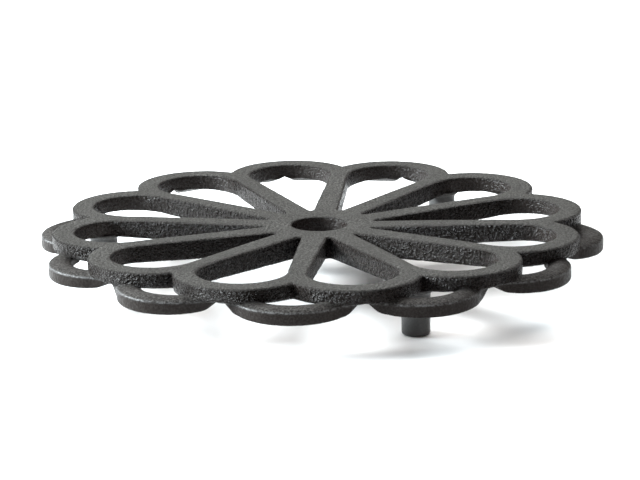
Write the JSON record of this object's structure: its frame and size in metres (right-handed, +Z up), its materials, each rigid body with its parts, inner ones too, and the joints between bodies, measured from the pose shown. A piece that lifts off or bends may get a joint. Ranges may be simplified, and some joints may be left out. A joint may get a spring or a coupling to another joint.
{
  "type": "trivet",
  "caption": "Round cast-iron flower trivet: a pierced petal grid with a ring of lower petals under its rim, standing on peg feet.",
  "frame": {"origin": "on the surface the trivet stands on, under the middle of the hub hole", "axes": "+Z up, out of the flat rim that carries the pot; +X through the middle of a lower petal"},
  "size_m": [0.18, 0.18, 0.0193],
  "materials": {
    "grid_iron": "satin black over a fine sand-cast grain, with granular side walls",
    "lower_iron": "satin black, smoother and darker than the grid",
    "foot_iron": "smooth satin black with a cool sheen"
  },
  "bodies": {
    "root": {"petal_grid": "grid_iron", "lower_petal_01": "lower_iron", "lower_petal_02": "lower_iron", "lower_petal_03": "lower_iron", "lower_petal_04": "lower_iron", "lower_petal_05": "lower_iron", "lower_petal_06": "lower_iron", "lower_petal_07": "lower_iron", "lower_petal_08": "lower_iron", "lower_petal_09": "lower_iron", "lower_petal_10": "lower_iron", "lower_petal_11": "lower_iron", "lower_petal_12": "lower_iron", "foot_front_right": "foot_iron", "foot_back_right": "foot_iron", "foot_left": "foot_iron"}
  },
  "joints": []
}
